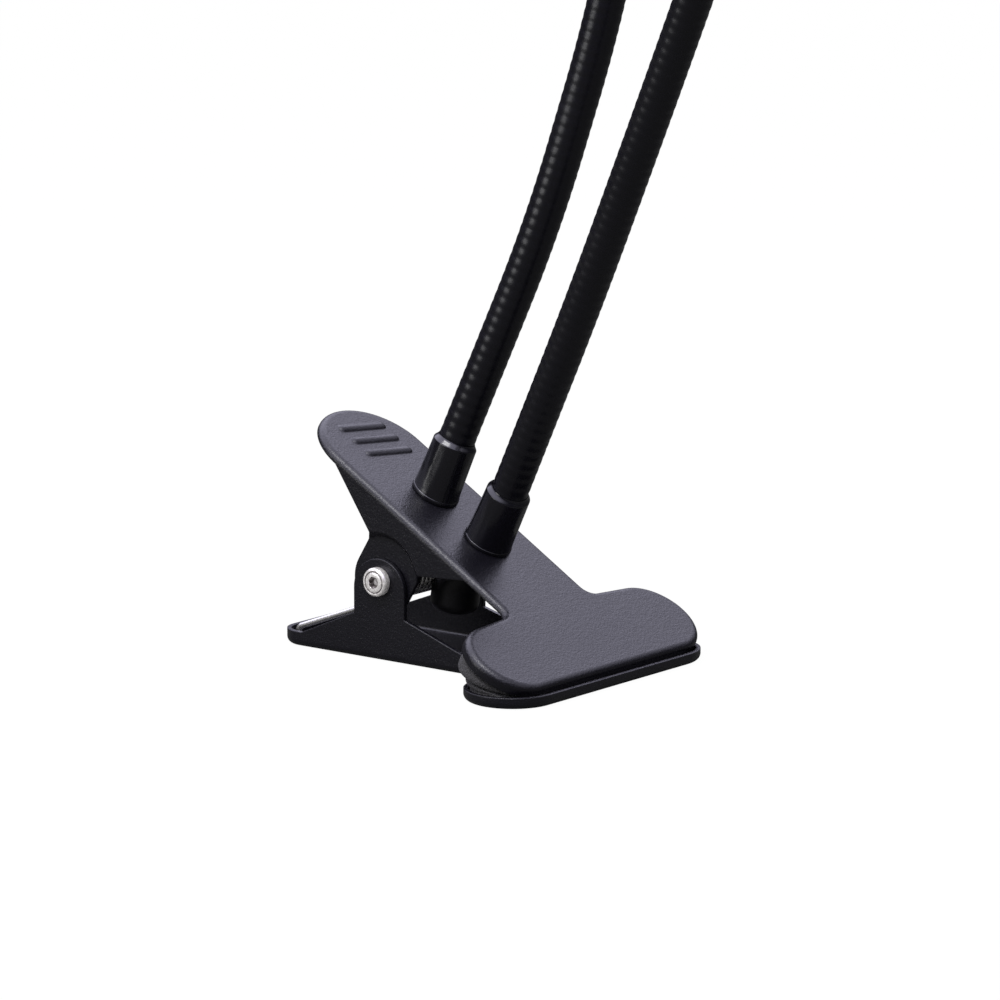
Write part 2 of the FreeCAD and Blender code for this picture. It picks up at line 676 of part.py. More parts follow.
def base_boot(course, boot_length):
    """Shrunk-on, slightly conical boot at the plate, cut off flush with it."""
    start = course.spans[0][1]
    direction = course.spans[0][2]
    buried = 2 * STUD_FLANGE_R
    length = boot_length + buried
    foot = start - direction * buried
    foot_radius = boot_radius + BOOT_FLARE * length / boot_length
    boot = Part.makeCone(foot_radius, boot_radius, length, foot, direction)
    boot = boot.cut(Part.makeCylinder(SKIN_R + BOOT_GAP, length, foot, direction))
    return boot.common(above_flange(FACE_GAP))


def top_boot(course):
    foot = course.point - course.direction * (TOP_BOOT_LENGTH + FACE_GAP)
    boot = Part.makeCylinder(boot_radius, TOP_BOOT_LENGTH, foot, course.direction)
    return boot.cut(Part.makeCylinder(SKIN_R + BOOT_GAP, TOP_BOOT_LENGTH, foot, course.direction))


def arm_studs():
    """The two hollow studs that carry the arms, in the upper plate's frame until placed."""
    studs = []
    for x, y in ARM_BASE.values():
        stud = turned([
            (STEM_BORE_R, -STUD_DROP),
            (STUD_R, -STUD_DROP),
            (STUD_R, FACE_GAP),
            (STUD_FLANGE_R, FACE_GAP),
            (STUD_FLANGE_R, STUD_FLANGE_H),
            (STEM_BORE_R, STUD_FLANGE_H),
        ])
        stud.translate(Vector(x, y, PIN_TO_TOP))
        studs.append(moved(stud, upper_frame))
    return Part.makeCompound(studs)


def arm_nuts():
    """Ring nuts under the plate, each with two spanner slots."""
    nuts = []
    top = -SHEET - FACE_GAP
    for x, y in ARM_BASE.values():
        nut = tube(RING_NUT_R, STUD_R + THREAD_CLEARANCE, top - RING_NUT_H, top)
        slot_low = top - RING_NUT_H
        half = RING_NUT_SLOT / 2
        slots = block((-half, -RING_NUT_R, slot_low), (half, RING_NUT_R, slot_low + RING_NUT_H / 2))
        nut = nut.cut(slots)
        nut.translate(Vector(x, y, PIN_TO_TOP))
        nuts.append(moved(nut, upper_frame))
    return Part.makeCompound(nuts)


# ---- wiring under the plate --------------------------------------------------
def gland_floor():
    """Middle of the soft boot's lower end."""
    x, y = ARM_BASE["right"]
    skirt = upper_frame.multVec(Vector(x + GLAND_BASE_SHIFT, y, upper_under - FACE_GAP))
    return skirt + Vector(GLAND_SHIFT, GLAND_ASIDE, -GLAND_DROP)


def gland_shape(shrink):
    """Soft boot: a round skirt on the plate that drapes into an upright cup."""
    x, y = ARM_BASE["right"]
    lean = math.radians(GLAND_LEAN)
    upright = Vector(math.sin(lean), 0, math.cos(lean))
    plate_normal = upper_frame.Rotation.multVec(Z_AXIS)
    skirt = upper_frame.multVec(Vector(x + GLAND_BASE_SHIFT, y, upper_under - FACE_GAP))
    floor = gland_floor()
    knee = floor + upright * GLAND_STRAIGHT
    rings = [
        Part.Wire(Part.makeCircle(GLAND_R - shrink, knee, upright)),
        Part.Wire(Part.makeCircle(GLAND_SKIRT_R - shrink, skirt, plate_normal)),
    ]
    drape = Part.makeLoft(rings, True)
    cup = Part.makeCylinder(GLAND_R - shrink, GLAND_STRAIGHT - shrink, floor + upright * shrink, upright)
    if shrink == 0:
        lowest = min(cup.Edges, key=lambda edge: edge.BoundBox.ZMax)
        cup = cup.makeFillet(GLAND_EDGE_R, [lowest])
    return cup.fuse(drape)


def wire_gland(lead_hole):
    body = gland_shape(0).cut(gland_shape(GLAND_WALL))
    lean = FreeCAD.Rotation(Y_AXIS, GLAND_LEAN)
    hole = Part.makeCylinder(CABLE_HOLE_R, 4 * GLAND_WALL, Vector(0, 0, -2 * GLAND_WALL))
    hole = moved(hole, FreeCAD.Placement(gland_floor(), lean))
    return body.cut([hole, lead_hole]).removeSplitter()


def link_course():
    """Lead from the left arm's stud, down and along under the plate, into the gland."""
    left_x, left_y = ARM_BASE["left"]
    right_x, right_y = ARM_BASE["right"]
    start = Vector(left_x, left_y, PIN_TO_TOP)
    sideways = Vector(right_x - left_x, right_y - left_y, 0)
    course = Course(start, -Z_AXIS)
    course.run(LEAD_DEPTH - LEAD_BEND_R)
    course.bend(sideways, 90, LEAD_BEND_R * math.pi / 2)
    course.run(sideways.Length + GLAND_BASE_SHIFT - LEAD_BEND_R - GLAND_SKIRT_R + 2 * GLAND_WALL)
    return course


def link_lead(thickening=0.0):
    return moved(link_course().solid(LEAD_R + thickening), upper_frame)


# ---- spot heads --------------------------------------------------------------
def head_placement(course):
    """The head's own frame: +Z the way it shines, +X its upper side."""
    shine = course.direction
    across = Z_AXIS.cross(shine).normalize()
    upward = shine.cross(across)
    turn = FreeCAD.Rotation(upward, across.negative(), shine, "ZXY")
    return FreeCAD.Placement(course.point, turn)


def head_housing():
    outline = [
        Vector(0, 0, 0),
        Vector(HEAD_NECK_R, 0, 0),
        Vector(HEAD_NECK_R, 0, HEAD_NECK_LENGTH),
        Vector(HEAD_R, 0, HEAD_SHOULDER),
        Vector(HEAD_R, 0, HEAD_LENGTH - BEZEL_SKIRT),
        Vector(HEAD_R - THREAD_STEP, 0, HEAD_LENGTH - BEZEL_SKIRT),
        Vector(HEAD_R - THREAD_STEP, 0, HEAD_LENGTH),
        Vector(0, 0, HEAD_LENGTH),
    ]
    widening = (HEAD_R - HEAD_NECK_R) * SHOULDER_MID[0]
    rise = (HEAD_SHOULDER - HEAD_NECK_LENGTH) * SHOULDER_MID[1]
    bulge = Vector(HEAD_NECK_R + widening, 0, HEAD_NECK_LENGTH + rise)
    edges = []
    for i, point in enumerate(outline):
        following = outline[(i + 1) % len(outline)]
        if i == 2:
            edges.append(Part.Arc(point, bulge, following).toShape())
        else:
            edges.append(Part.LineSegment(point, following).toShape())
    body = Part.Face(Part.Wire(edges)).revolve(Vector(), Z_AXIS, 360)
    seat = HEAD_LENGTH - LENS_H
    room = turned([
        (0, -1),
        (STEM_R + SKIN_GAP, -1),
        (STEM_R + SKIN_GAP, HEAD_NECK_LENGTH + FACE_GAP),
        (HEAD_NECK_R - 2, HEAD_NECK_LENGTH + FACE_GAP),
        (REAR_ROOM_R, REAR_ROOM_START + 2),
        (REAR_ROOM_R, PLATE_SEAT),
        (FRONT_ROOM_R, PLATE_SEAT),
        (FRONT_ROOM_R, seat),
        (LENS_R + LENS_FIT, seat),
        (LENS_R + LENS_FIT, HEAD_LENGTH + 1),
        (0, HEAD_LENGTH + 1),
    ])
    body = body.cut(room)
    for i in range(FIN_COUNT):
        low = FIN_FIRST + i * FIN_PITCH
        body = body.cut(tube(HEAD_R + 1, HEAD_R - FIN_DEPTH, low, low + FIN_GROOVE))
    hole = Part.makeCylinder(BUTTON_R + BUTTON_FIT, HEAD_R, Vector(0, 0, BUTTON_Z), X_AXIS)
    return body.cut(hole)


def bezel():
    inner = HEAD_R - THREAD_STEP + FACE_GAP
    start = HEAD_LENGTH - BEZEL_SKIRT + FACE_GAP
    lip = HEAD_LENGTH + FACE_GAP
    return turned([
        (inner, start),
        (BEZEL_R, start),
        (BEZEL_R, lip + BEZEL_LIP_H - BEZEL_CHAMFER),
        (BEZEL_R - BEZEL_CHAMFER, lip + BEZEL_LIP_H),
        (BEZEL_LIP_R + BEZEL_CHAMFER, lip + BEZEL_LIP_H),
        (BEZEL_LIP_R, lip + BEZEL_LIP_H - BEZEL_CHAMFER),
        (BEZEL_LIP_R, lip),
        (inner, lip),
    ])


def lens():
    low = HEAD_LENGTH - LENS_H + FACE_GAP
    disc = Part.makeCylinder(LENS_R, LENS_H - FACE_GAP, Vector(0, 0, low))
    bulge = BEZEL_LIP_R - LENS_FIT
    radius = (bulge**2 + LENS_RISE**2) / (2 * LENS_RISE)
    dome = Part.makeSphere(radius, Vector(0, 0, HEAD_LENGTH + LENS_RISE - radius))
    return disc.fuse(dome.common(Part.makeCylinder(bulge, LENS_RISE, Vector(0, 0, HEAD_LENGTH))))


def reflector():
    """Parabolic cup: its radius grows with the square root of the height."""
    low = PLATE_SEAT + PLATE_H + BOARD_H + EMITTER_H + 2 * FACE_GAP
    high = HEAD_LENGTH - LENS_H - 2 * FACE_GAP
    start_r = EMITTER_SIZE / 2 + 1.0
    end_r = FRONT_ROOM_R - REFLECTOR_WALL - LENS_FIT
    inside = []
    for i in range(REFLECTOR_STEPS + 1):
        share = i / REFLECTOR_STEPS
        radius = math.sqrt(start_r**2 + (end_r**2 - start_r**2) * share)
        inside.append(Vector(radius, 0, low + (high - low) * share))
    outside = [point + Vector(REFLECTOR_WALL, 0, 0) for point in inside]
    edges = []
    for line in (inside, outside):
        curve = Part.BSplineCurve()
        curve.interpolate(line)
        edges.append(curve.toShape())
    edges.append(Part.LineSegment(inside[0], outside[0]).toShape())
    edges.append(Part.LineSegment(inside[-1], outside[-1]).toShape())
    return Part.Face(Part.Wire(Part.__sortEdges__(edges))).revolve(Vector(), Z_AXIS, 360)


def screw_places():
    return [Vector(0, sign * BOARD_SCREW_PITCH / 2, 0) for sign in (1, -1)]


def led_plate():
    plate = Part.makeCylinder(FRONT_ROOM_R - FACE_GAP, PLATE_H, Vector(0, 0, PLATE_SEAT + FACE_GAP))
    for place in screw_places():
        plate = plate.cut(Part.makeCylinder(BOARD_SCREW_R + FACE_GAP, big, place))
    return plate.cut(Part.makeCylinder(WIRE_HOLE_R, big, Vector(WIRE_HOLE_PLACE, 0, 0)))


def led_board():
    low = PLATE_SEAT + PLATE_H + 2 * FACE_GAP
    board = Part.makeCylinder(BOARD_R, BOARD_H, Vector(0, 0, low))
    for place in screw_places():
        board = board.cut(Part.makeCylinder(BOARD_SCREW_R + FACE_GAP, big, place))
    size = EMITTER_SIZE / 2
    top = low + BOARD_H
    return board.fuse(block((-size, -size, top), (size, size, top + EMITTER_H)))


def board_screws():
    top = PLATE_SEAT + PLATE_H + BOARD_H + 3 * FACE_GAP
    screws = []
    for place in screw_places():
        shank = Part.makeCylinder(BOARD_SCREW_R, BOARD_H + PLATE_H, Vector(0, 0, top - BOARD_H - PLATE_H))
        head = Part.makeCylinder(BOARD_SCREW_HEAD_R, BOARD_SCREW_HEAD_H, Vector(0, 0, top))
        half = BOARD_SCREW_SLOT / 2
        slot = block((-big, -half, top + BOARD_SCREW_HEAD_H / 2), (big, half, big))
        screw = head.cut(slot).fuse(shank)
        screw.translate(place)
        screws.append(screw)
    return Part.makeCompound(screws)


def driver_board():
    half = DRIVER_WIDTH / 2
    return block((DRIVER_FACE - DRIVER_H, -half, DRIVER_START), (DRIVER_FACE, half, PLATE_SEAT))


def switch():
    """Small press switch on the driver board, under the button."""
    half = SWITCH_SIZE / 2
    low = DRIVER_FACE + FACE_GAP
    plunger_top = button_foot() - BUTTON_TRAVEL - FACE_GAP
    body_top = low + SWITCH_BODY_SHARE * (plunger_top - low)
    body = block((low, -half, BUTTON_Z - half), (body_top, half, BUTTON_Z + half))
    return body.fuse(Part.makeCylinder(half / 2, plunger_top - low, Vector(low, 0, BUTTON_Z), X_AXIS))


def button_foot():
    """How far the button's inner end is from the head's axis."""
    return REAR_ROOM_R - BUTTON_FLANGE_H - BUTTON_REST_GAP


def button():
    foot = button_foot()
    top = HEAD_R + BUTTON_STANDOUT
    cap = Part.makeCylinder(BUTTON_R, top - foot, Vector(foot, 0, BUTTON_Z), X_AXIS)
    rim = [edge for edge in cap.Edges if abs(edge.BoundBox.XMin - top) < 0.001]
    cap = cap.makeFillet(BUTTON_EDGE_R, rim)
    return cap.fuse(Part.makeCylinder(BUTTON_FLANGE_R, BUTTON_FLANGE_H, Vector(foot, 0, BUTTON_Z), X_AXIS))


def head_lead():
    """Lead from the core's end up to the underside of the driver board."""
    course = Course(Vector(0, 0, HEAD_NECK_LENGTH + FACE_GAP), Z_AXIS)
    for towards, run in ((X_AXIS, 2.0), (Z_AXIS, 1.5)):
        course.run(run)
        course.bend(towards, HEAD_LEAD_TURN, HEAD_LEAD_BEND)
    course.run(HEAD_LEAD_END)
    return course.solid(LEAD_R)


# ---- build -------------------------------------------------------------------
def build_clip():
    save("lower_jaw", lower_jaw())
    save("upper_jaw", upper_jaw())
    save("lower_pad", lower_pad())
    save("upper_pad", upper_pad())
    save("pivot_screw", pivot_screw())
    save("pivot_nut", pivot_nut())
    save("pivot_sleeve", pivot_sleeve())
    save("torsion_spring", torsion_spring())
    save("arm_studs", arm_studs())
    save("arm_nuts", arm_nuts())
    save("wire_gland", wire_gland(link_lead(BOOT_GAP)))
    save("link_lead", link_lead())


def build_arm(side):
    stretches = arm_courses(side)
    save(f"{side}_boot", base_boot(stretches[0], BOOT_LENGTH[side]))
    save(f"{side}_top_boot", top_boot(stretches[-1]))
    last = len(stretches) - 1
    for i, course in enumerate(stretches):
        save(f"{side}_sleeve_{i + 1}", skin(course, i == 0, i == last))
        save(f"{side}_core_{i + 1}", stem(course, i == 0, i == last))
    return stretches[-1]


def build_head(side, course):
    place = head_placement(course)
    pieces = {
        "housing": head_housing(),
        "bezel": bezel(),
        "lens": lens(),
        "reflector": reflector(),
        "led_plate": led_plate(),
        "led_board": led_board(),
        "board_screws": board_screws(),
        "driver_board": driver_board(),
        "switch": switch(),
        "button": button(),
        "head_lead": head_lead(),
    }
    for name, piece in pieces.items():
        save(f"{side}_{name}", moved(piece, place))


build_clip()
for arm in ARM_BASE:
    build_head(arm, build_arm(arm))
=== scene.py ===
import bpy
import math
import numpy as np
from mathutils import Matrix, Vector


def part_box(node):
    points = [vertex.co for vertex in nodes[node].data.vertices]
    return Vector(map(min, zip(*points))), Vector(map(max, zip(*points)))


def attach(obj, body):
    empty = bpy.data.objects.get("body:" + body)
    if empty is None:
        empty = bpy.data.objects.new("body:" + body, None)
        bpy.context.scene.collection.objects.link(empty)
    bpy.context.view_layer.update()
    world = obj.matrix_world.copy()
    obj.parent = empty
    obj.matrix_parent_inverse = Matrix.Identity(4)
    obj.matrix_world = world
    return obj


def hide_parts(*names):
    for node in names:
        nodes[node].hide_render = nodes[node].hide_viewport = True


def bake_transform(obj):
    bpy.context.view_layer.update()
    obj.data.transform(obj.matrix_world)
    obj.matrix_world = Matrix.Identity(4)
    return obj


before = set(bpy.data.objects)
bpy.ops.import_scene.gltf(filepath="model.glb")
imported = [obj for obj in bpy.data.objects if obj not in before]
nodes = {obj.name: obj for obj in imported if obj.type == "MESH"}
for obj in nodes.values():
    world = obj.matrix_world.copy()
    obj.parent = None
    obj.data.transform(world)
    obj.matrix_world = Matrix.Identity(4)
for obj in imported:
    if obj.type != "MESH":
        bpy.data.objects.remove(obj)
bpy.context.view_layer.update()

scene = bpy.context.scene
print("frame loaded:", len(nodes), "nodes")


class Value:
    # wraps a socket of a material, so that shader maths reads as arithmetic
    def __init__(self, kit, socket):
        self.kit = kit
        self.socket = socket

    def maths(self, operation, *inputs):
        return self.kit.add("ShaderNodeMath", {"operation": operation}, *inputs)

    def __add__(self, other):
        return self.maths("ADD", self, other)

    def __sub__(self, other):
        return self.maths("SUBTRACT", self, other)

    def __mul__(self, other):
        return self.maths("MULTIPLY", self, other)

    def __rsub__(self, other):
        return self.maths("SUBTRACT", other, self)

    __radd__ = __add__
    __rmul__ = __mul__

    def clamp(self):
        return self.kit.add("ShaderNodeClamp", {}, self, 0.0, 1.0)


rayOutputs = {"camera": 0, "glossy": 3, "transmission": 6}


class Kit:
    # builds one material or world, node by node
    def __init__(self, owner):
        owner.use_nodes = True
        self.tree = owner.node_tree
        self.tree.nodes.clear()

    def add(self, kind, settings, *values, output=0, **named):
        # values fill the sockets in turn, named ones go by the socket's name; output is the one that is used
        node = self.tree.nodes.new(kind)
        for name, setting in settings.items():
            setattr(node, name, setting)
        sockets = [socket for socket in node.inputs if socket.enabled]
        pairs = list(zip(sockets, values))
        for name, value in named.items():
            label = name.replace("_", " ")
            pairs.append((next(socket for socket in sockets if socket.name == label), value))
        for socket, value in pairs:
            if isinstance(value, Value):
                self.tree.links.new(value.socket, socket)
            elif value is not None:
                socket.default_value = value
        outputs = [socket for socket in node.outputs if socket.enabled]
        return Value(self, outputs[output]) if outputs else None

    def coordinate(self, stretch=(1.0, 1.0, 1.0)):
        place = self.add("ShaderNodeTexCoord", {}, output=3)
        return self.add("ShaderNodeMapping", {}, place, Scale=stretch)

    def noise(self, place, scale, detail=2.0, roughness=0.5):
        return self.add("ShaderNodeTexNoise", {}, place, Scale=scale, Detail=detail, Roughness=roughness)

    def cells(self, place, scale):
        return self.add("ShaderNodeTexVoronoi", {}, place, Scale=scale)

    def smooth(self, value, *reach):
        # value goes from reach[0] to reach[1], the result from reach[2] to reach[3]
        return self.add("ShaderNodeMapRange", {"interpolation_type": "SMOOTHSTEP"}, value, *reach)

    def vectors(self, operation, *inputs):
        return self.add("ShaderNodeVectorMath", {"operation": operation}, *inputs)

    def ray(self, kind):
        return self.add("ShaderNodeLightPath", {}, output=rayOutputs[kind])

    def blend(self, share, low, high):
        return self.add("ShaderNodeMix", {"data_type": "RGBA"}, Factor=share, A=low, B=high)

    def rounded(self, radius):
        return self.add("ShaderNodeBevel", {"samples": 6}, Radius=radius)

    def bump(self, height, depth, strength=1.0, normal=None):
        named = {"Strength": strength, "Distance": depth, "Height": height, "Normal": normal}
        return self.add("ShaderNodeBump", {}, **named)


def colour(red, green, blue):
    return (red, green, blue, 1.0)


def grey(level):
    return colour(level, level, level)


def finish(name, build, **constants):
    # a material with one principled shader: constants sit on its sockets, what varies comes from build
    material = bpy.data.materials.new(name)
    kit = Kit(material)
    shader = kit.add("ShaderNodeBsdfPrincipled", {}, **constants, **build(kit))
    kit.add("ShaderNodeOutputMaterial", {}, shader)
    return material


camera = {
    "azimuth": 38.107,
    "elevation": 11.376,
    "target": (0.0265, 0.0, 0.04315),
    "distance": 1.7,
    "lens": 237.5,
    "sensor": 36.0,
    "clip": (0.05, 60.0),
}
studio = {
    "high": 2.55,             # what gloss sees overhead and above the backdrop
    "low": 0.06,              # what gloss sees at eye level
    "skyRise": (0.22, 0.62, 0.0, 1.0),      # from low to high between these heights
    "sideFall": (0.22, 0.56, 1.32, 0.60),   # the sky dims from left to right
    "highTint": (0.95, 0.93, 1.16),
    "fill": 0.75,             # what lights matt colour
    "floorSize": 12.0,
    "floorLevel": -0.0002,
    "floorWhite": 0.94,       # share of plain white that the camera sees, the rest takes shadow
    "floorGlow": 1.04,
    "floorColour": 0.42,
    "floorInGloss": 0.13,     # how bright the floor is to gloss
    "softboxes": (
        # azimuth, elevation, distance, width, height, radiance
        (-27.0, 12.0, 0.75, 0.38, 0.20, 5.0),
        (3.0, 60.0, 1.5, 0.90, 0.32, 18.0),
        (92.0, 24.0, 1.8, 0.5, 1.2, 0.4),
    ),
}


def outward(azimuth, elevation):
    # direction from the lamp: azimuth 0 is its near side, -Y, and 90 is +X
    turn, rise = math.radians(azimuth), math.radians(elevation)
    flat = math.cos(rise)
    return np.array((math.sin(turn) * flat, -math.cos(turn) * flat, math.sin(rise)))


def aimed(thing, place, target):
    thing.location = place
    thing.rotation_euler = (Vector(target) - Vector(place)).to_track_quat("-Z", "Y").to_euler()


def makeCamera():
    data = bpy.data.cameras.new("camera")
    data.lens = camera["lens"]
    data.sensor_width = camera["sensor"]
    data.clip_start, data.clip_end = camera["clip"]
    thing = bpy.data.objects.new("camera", data)
    scene.collection.objects.link(thing)
    target = np.array(camera["target"])
    place = target + camera["distance"] * outward(camera["azimuth"], camera["elevation"])
    aimed(thing, place, target)
    scene.camera = thing


def makeLights():
    target = np.array(camera["target"])
    for i, softbox in enumerate(studio["softboxes"]):
        azimuth, elevation, distance, width, height, radiance = softbox
        data = bpy.data.lights.new(f"softbox{i}", "AREA")
        data.shape = "RECTANGLE"
        data.size, data.size_y = width, height
        data.energy = radiance * math.pi * width * height
        thing = bpy.data.objects.new(f"softbox{i}", data)
        scene.collection.objects.link(thing)
        aimed(thing, target + distance * outward(azimuth, elevation), target)
        thing.visible_camera = False


def makeWorld():
    # white to the camera and through glass; gloss sees a pale sky over a dark horizon instead of the white;
    # matt colour takes an even fill
    world = bpy.data.worlds.new("studio")
    scene.world = world
    kit = Kit(world)
    direction = kit.add("ShaderNodeTexCoord", {}, output=0)
    height = kit.add("ShaderNodeSeparateXYZ", {}, direction, output=2)
    rise = kit.smooth(height, *studio["skyRise"])
    turn = math.radians(camera["azimuth"])
    aside = kit.vectors("DOT_PRODUCT", direction, (math.cos(turn), math.sin(turn), 0.0))
    fall = kit.smooth(aside, *studio["sideFall"])
    seen = studio["low"] + rise * fall * (studio["high"] - studio["low"])
    gloss = kit.ray("glossy")
    white = (kit.ray("camera") + kit.ray("transmission")).clamp()
    level = gloss * seen + (1.0 - gloss) * studio["fill"]
    strength = white + (1.0 - white) * level
    tint = kit.blend(gloss, grey(1.0), colour(*studio["highTint"]))
    back = kit.add("ShaderNodeBackground", {}, tint, strength)
    kit.add("ShaderNodeOutputWorld", {}, back)


def makeFloor():
    size, level = studio["floorSize"] / 2, studio["floorLevel"]
    mesh = bpy.data.meshes.new("floor")
    corners = [(-size, -size, level), (size, -size, level), (size, size, level), (-size, size, level)]
    mesh.from_pydata(corners, [], [(0, 1, 2, 3)])
    thing = bpy.data.objects.new("floor", mesh)
    scene.collection.objects.link(thing)
    material = bpy.data.materials.new("paleFloor")
    kit = Kit(material)
    shade = kit.blend(kit.ray("glossy"), grey(studio["floorColour"]), grey(studio["floorInGloss"]))
    matt = kit.add("ShaderNodeBsdfDiffuse", {}, shade)
    white = kit.add("ShaderNodeEmission", {}, grey(1.0), studio["floorGlow"])
    mixed = kit.add("ShaderNodeMixShader", {}, kit.ray("camera") * studio["floorWhite"], matt, white)
    kit.add("ShaderNodeOutputMaterial", {}, mixed)
    mesh.materials.append(material)


makeCamera()
makeLights()
makeWorld()
makeFloor()
scene.view_settings.view_transform = "Standard"
print("camera, lights and floor made")


clip = {
    "pinHeight": 0.0211,
    "tilt": 31.198,           # degrees between the plates
    "pinToTop": 0.0196,
    "sheet": 0.0012,
    "paintEdge": 0.0005,      # the paint rounds the sheet's edges this much
}


def paintSurface(kit):
    # fine orange peel over a slower ripple, and a little unevenness in its gloss
    place = kit.coordinate()
    peel = kit.noise(place, 1900.0, 2.0, 0.6)
    ripple = kit.noise(place, 700.0, 1.0)
    height = peel * 0.65 + ripple * 0.35
    cloud = kit.noise(place, 60.0, 3.0)
    return {
        "Roughness": 0.27 + cloud * 0.10,
        "Normal": kit.bump(height, 0.00020, 0.8, kit.rounded(clip["paintEdge"])),
    }


def foamSurface(kit):
    # open pores: painted shade in the hollow cell hearts, paler cell walls, random grain in the tone
    place = kit.coordinate()
    pores = kit.cells(place, 1700.0)
    grain = kit.noise(place, 900.0, 3.0, 0.7)
    # painted shade: the pits of the pores are dark in the colour, and the grain adds random tone
    shade = (pores * 0.8 + grain * 0.4).clamp()
    return {
        "Base_Color": kit.blend(shade, grey(0.004), colour(0.044, 0.042, 0.045)),
        "Normal": kit.bump(pores + grain * 0.5, 0.00035, 0.9),
    }


def vinylSurface(kit):
    # fine grain, uneven gloss
    place = kit.coordinate()
    cloud = kit.noise(place, 60.0, 3.0)
    grain = kit.noise(place, 900.0, 2.0)
    return {
        "Roughness": 0.26 + cloud * 0.10,
        "Normal": kit.bump(grain, 0.00004, 0.6),
    }


def shrinkSurface(kit):
    # drawn creases along the tube: the pattern is stretched along Z
    place = kit.coordinate((1.0, 1.0, 0.25))
    crease = kit.noise(place, 420.0, 3.0, 0.55)
    return {
        "Roughness": 0.12 + crease * 0.14,
        "Normal": kit.bump(crease, 0.00010, 0.6),
    }


def brightSurface(kit):
    # cloudy polish
    place = kit.coordinate()
    cloud = kit.noise(place, 700.0, 3.0)
    return {
        "Roughness": 0.16 + cloud * 0.16,
        "Normal": kit.bump(cloud, 0.00002, 0.4),
    }


def screwSurface(kit):
    # fine turning marks round the pin's line, a little dirt, and painted shade in the groove and on the walls of
    # the recess
    place = kit.coordinate()
    apart = kit.vectors("SUBTRACT", place, (0.0, 0.0, clip["pinHeight"]))
    radius = kit.vectors("LENGTH", kit.vectors("MULTIPLY", apart, (1.0, 0.0, 1.0)))
    marks = kit.add("ShaderNodeMath", {"operation": "SINE"}, radius * 42000.0)
    dirt = kit.noise(place, 1500.0, 3.0)
    # painted shade: the groove's ring and the recess walls are darkened in the colour, besides the random dirt
    grooveShade = kit.add("ShaderNodeMath", {"operation": "COMPARE"}, radius, 0.00281, 0.00016)
    lobes = kit.add("ShaderNodeMath", {"operation": "COMPARE"}, radius, 0.00122, 0.00034)
    shade = (dirt * 1.6 - 0.55 + grooveShade * 0.8 + lobes * 0.8).clamp()
    return {
        "Base_Color": kit.blend(shade, colour(0.95, 0.92, 0.91), colour(0.16, 0.14, 0.14)),
        "Roughness": 0.20 + dirt * 0.20,
        "Normal": kit.bump(marks * 0.12 + dirt * 0.3, 0.00006, 0.5),
    }


def drawnSurface(kit):
    # dark and bright streaks of drawn wire
    place = kit.coordinate((1.0, 0.2, 1.0))
    streak = kit.noise(place, 2500.0, 2.0)
    return {
        "Roughness": 0.20 + streak * 0.16,
        "Base_Color": kit.blend(streak, colour(0.50, 0.49, 0.48), colour(0.90, 0.89, 0.87)),
    }


def plasticSurface(kit):
    # fine sparked mould texture
    place = kit.coordinate()
    spark = kit.noise(place, 1800.0, 2.0)
    return {
        "Roughness": 0.42 + spark * 0.14,
        "Normal": kit.bump(spark, 0.00004, 0.5),
    }


finishes = {
    "clipPaint": (paintSurface, {"Base_Color": colour(0.0042, 0.0039, 0.0064), "IOR": 1.37}),
    "padFoam": (foamSurface, {"Roughness": 0.95}),
    "sleeveVinyl": (vinylSurface, {"Base_Color": colour(0.0020, 0.0018, 0.0038), "IOR": 1.39}),
    "bootShrink": (shrinkSurface, {"Base_Color": colour(0.0032, 0.0030, 0.0050), "IOR": 1.44}),
    "glandRubber": (plasticSurface, {"Base_Color": colour(0.0040, 0.0038, 0.0046), "IOR": 1.38}),
    "screwNickel": (brightSurface, {"Base_Color": colour(0.78, 0.77, 0.75), "Metallic": 1.0}),
    "screwTurned": (screwSurface, {"Metallic": 0.45}),
    "springWire": (drawnSurface, {"Metallic": 0.85}),
    "woundSteel": (brightSurface, {"Base_Color": colour(0.40, 0.40, 0.42), "Metallic": 1.0}),
    "headPaint": (paintSurface, {"Base_Color": colour(0.0080, 0.0078, 0.0100), "IOR": 1.40}),
    "buttonPlastic": (plasticSurface, {"Base_Color": colour(0.10, 0.10, 0.11)}),
    "leadPlastic": (plasticSurface, {"Base_Color": grey(0.02)}),
    "boardWhite": (plasticSurface, {"Base_Color": colour(0.80, 0.80, 0.76)}),
    "boardGreen": (plasticSurface, {"Base_Color": colour(0.02, 0.14, 0.06)}),
    "reflectorChrome": (brightSurface, {"Base_Color": colour(0.85, 0.85, 0.86), "Metallic": 1.0}),
    "lensClear": (
        brightSurface, {"Base_Color": colour(0.97, 0.98, 0.98), "Transmission_Weight": 1.0, "IOR": 1.49},
    ),
}
finishes = {name: finish(name, build, **constants) for name, (build, constants) in finishes.items()}
nodeFinish = {
    "jaw": "clipPaint",
    "pad": "padFoam",
    "pivot_screw": "screwTurned",
    "pivot_nut": "screwNickel",
    "pivot_sleeve": "woundSteel",
    "torsion_spring": "springWire",
    "arm_studs": "screwNickel",
    "arm_nuts": "screwNickel",
    "wire_gland": "glandRubber",
    "lead": "leadPlastic",
    "boot": "bootShrink",
    "sleeve": "sleeveVinyl",
    "core": "woundSteel",
    "housing": "headPaint",
    "bezel": "headPaint",
    "lens": "lensClear",
    "reflector": "reflectorChrome",
    "led_plate": "woundSteel",
    "led_board": "boardWhite",
    "board_screws": "screwNickel",
    "driver_board": "boardGreen",
    "switch": "leadPlastic",
    "button": "buttonPlastic",
}


def paintNodes():
    # a node takes the finish of the longest word here that its name contains
    words = sorted(nodeFinish, key=len, reverse=True)
    for name, thing in nodes.items():
        word = next(word for word in words if word in name)
        thing.data.materials.clear()
        thing.data.materials.append(finishes[nodeFinish[word]])


paintNodes()
print("materials made:", len(finishes))


